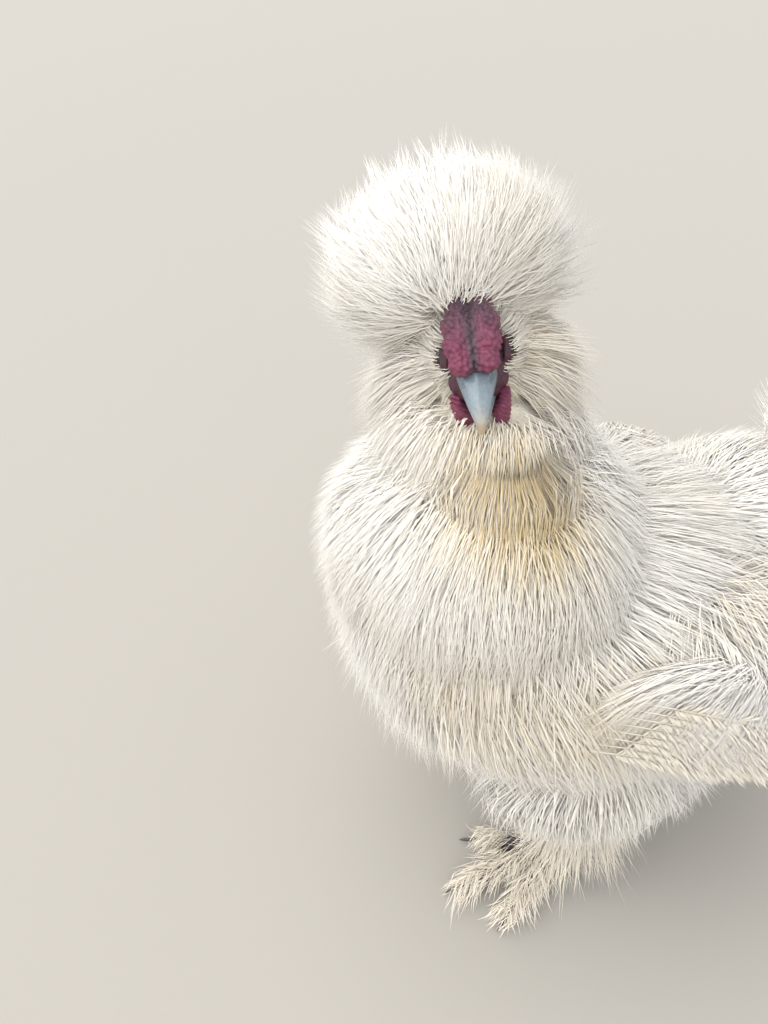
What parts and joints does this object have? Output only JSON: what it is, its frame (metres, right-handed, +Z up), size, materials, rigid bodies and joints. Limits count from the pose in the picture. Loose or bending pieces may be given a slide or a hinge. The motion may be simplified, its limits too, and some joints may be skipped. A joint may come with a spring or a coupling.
{
  "type": "silkie chicken",
  "caption": "White silkie chicken with a full crest, beard and mulberry walnut comb, standing with its head turned to its left; a still museum model",
  "frame": {"origin": "on the floor at the middle of the bird's outline seen from above", "axes": "+Z up, -Y the way the breast faces, +X the bird's own left side"},
  "size_m": [0.194, 0.303, 0.3353],
  "materials": {
    "plumage": "soft white silkie down with cream roots, no sheen",
    "skin": "dark mulberry to slate skin with fine creases",
    "comb": "dull mulberry, finely pebbled",
    "earlobe": "dull turquoise, soft skin",
    "beak": "slate blue horn with a tan tip, satin",
    "claw": "dark slate horn, satin",
    "eye": "near black, wet gloss"
  },
  "bodies": {
    "root": {"head": "skin", "beak_upper": "beak", "beak_lower": "beak", "comb": "comb", "eye_left": "eye", "wattle_left": "comb", "earlobe_left": "earlobe", "eye_right": "eye", "wattle_right": "comb", "earlobe_right": "earlobe", "crest": "plumage", "beard": "plumage", "neck": "plumage", "tail": "plumage", "wing_left": "plumage", "thigh_left": "plumage", "shank_left": "plumage", "foot_left": "skin", "claw_inner_left": "claw", "claw_middle_left": "claw", "claw_outer_left": "claw", "claw_hind_left": "claw", "claw_fifth_left": "claw", "wing_right": "plumage", "thigh_right": "plumage", "shank_right": "plumage", "foot_right": "skin", "claw_inner_right": "claw", "claw_middle_right": "claw", "claw_outer_right": "claw", "claw_hind_right": "claw", "claw_fifth_right": "claw", "torso": "plumage"}
  },
  "joints": []
}
